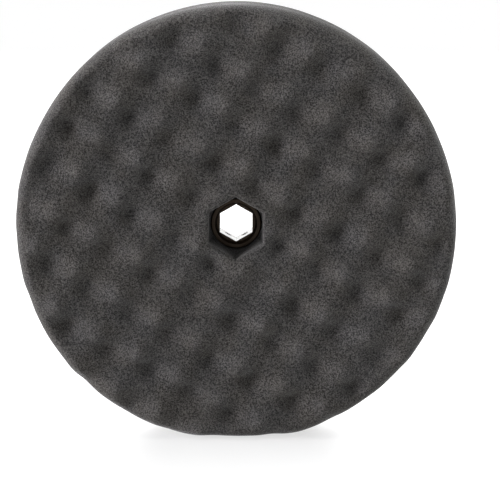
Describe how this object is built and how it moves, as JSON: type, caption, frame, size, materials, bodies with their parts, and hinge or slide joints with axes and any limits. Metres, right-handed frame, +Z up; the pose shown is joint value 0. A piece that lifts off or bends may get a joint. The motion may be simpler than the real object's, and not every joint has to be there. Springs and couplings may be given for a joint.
{
  "type": "double-sided foam polishing pad",
  "caption": "Round foam polishing pad with a convoluted face on both sides and a hexagonal quick-connect socket through its middle, standing on its rim.",
  "frame": {"origin": "middle of the hub: on the pad's axis, halfway between its two working faces", "axes": "+Y along the pad's axis from the front face to the rear face, +Z up away from the flattened stretch of rim that the pad stands on, +X to the right seen from the front"},
  "size_m": [0.2032, 0.054, 0.2002],
  "materials": {
    "foam": "matte",
    "adhesive": "satin",
    "plate": "matte",
    "hub_plastic": "gloss",
    "rivet_metal": "satin"
  },
  "bodies": {
    "root": {"front_foam_disc": "foam", "rear_foam_disc": "foam", "rim_adhesive_ring": "adhesive", "front_adhesive_film": "adhesive", "rear_adhesive_film": "adhesive", "backing_plate": "plate", "front_hub_half": "hub_plastic", "rear_hub_half": "hub_plastic", "hub_rivets": "rivet_metal"}
  },
  "joints": []
}
